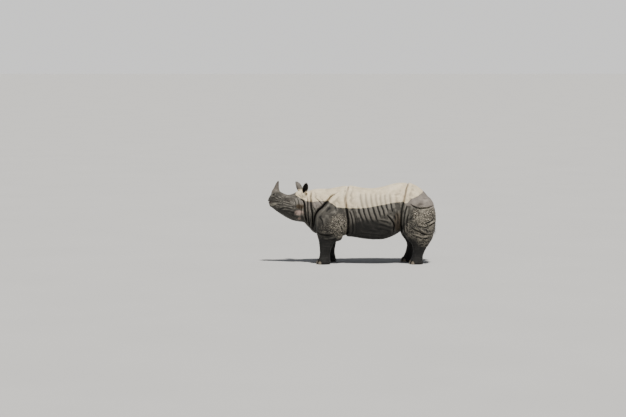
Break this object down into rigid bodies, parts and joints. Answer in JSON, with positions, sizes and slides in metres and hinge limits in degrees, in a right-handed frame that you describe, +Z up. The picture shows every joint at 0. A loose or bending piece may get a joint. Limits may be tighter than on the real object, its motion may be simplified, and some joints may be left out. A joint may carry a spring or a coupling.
{
  "type": "greater one-horned rhinoceros",
  "caption": "Life-size standing rhinoceros with folded, armour-like hide, a short nose horn and its head raised, as a still museum-type model.",
  "frame": {"origin": "on the ground under the middle of the animal's length and width", "axes": "+X towards the tail, -X towards the muzzle, -Y is the animal's left side, +Z up"},
  "size_m": [3.4269, 1.0154, 1.6856],
  "materials": {
    "hide": "matt, wrinkled and granular hide, dark brown-grey below and pale with dried mud over the back",
    "horn": "matt dark grey keratin, rough and fibrous at the root",
    "nail": "matt grey-brown keratin",
    "eye": "wet dark brown"
  },
  "bodies": {
    "root": {"head": "hide", "neck": "hide", "shoulders": "hide", "barrel": "hide", "hips": "hide", "foreleg_left": "hide", "foreleg_right": "hide", "hindleg_left": "hide", "hindleg_right": "hide", "tail": "hide", "ear_left": "hide", "ear_right": "hide", "horn": "horn", "eye_left": "eye", "eye_right": "eye", "foreleg_left_nail_inner": "nail", "foreleg_left_nail_middle": "nail", "foreleg_left_nail_outer": "nail", "foreleg_right_nail_inner": "nail", "foreleg_right_nail_middle": "nail", "foreleg_right_nail_outer": "nail", "hindleg_left_nail_inner": "nail", "hindleg_left_nail_middle": "nail", "hindleg_left_nail_outer": "nail", "hindleg_right_nail_inner": "nail", "hindleg_right_nail_middle": "nail", "hindleg_right_nail_outer": "nail"}
  },
  "joints": []
}
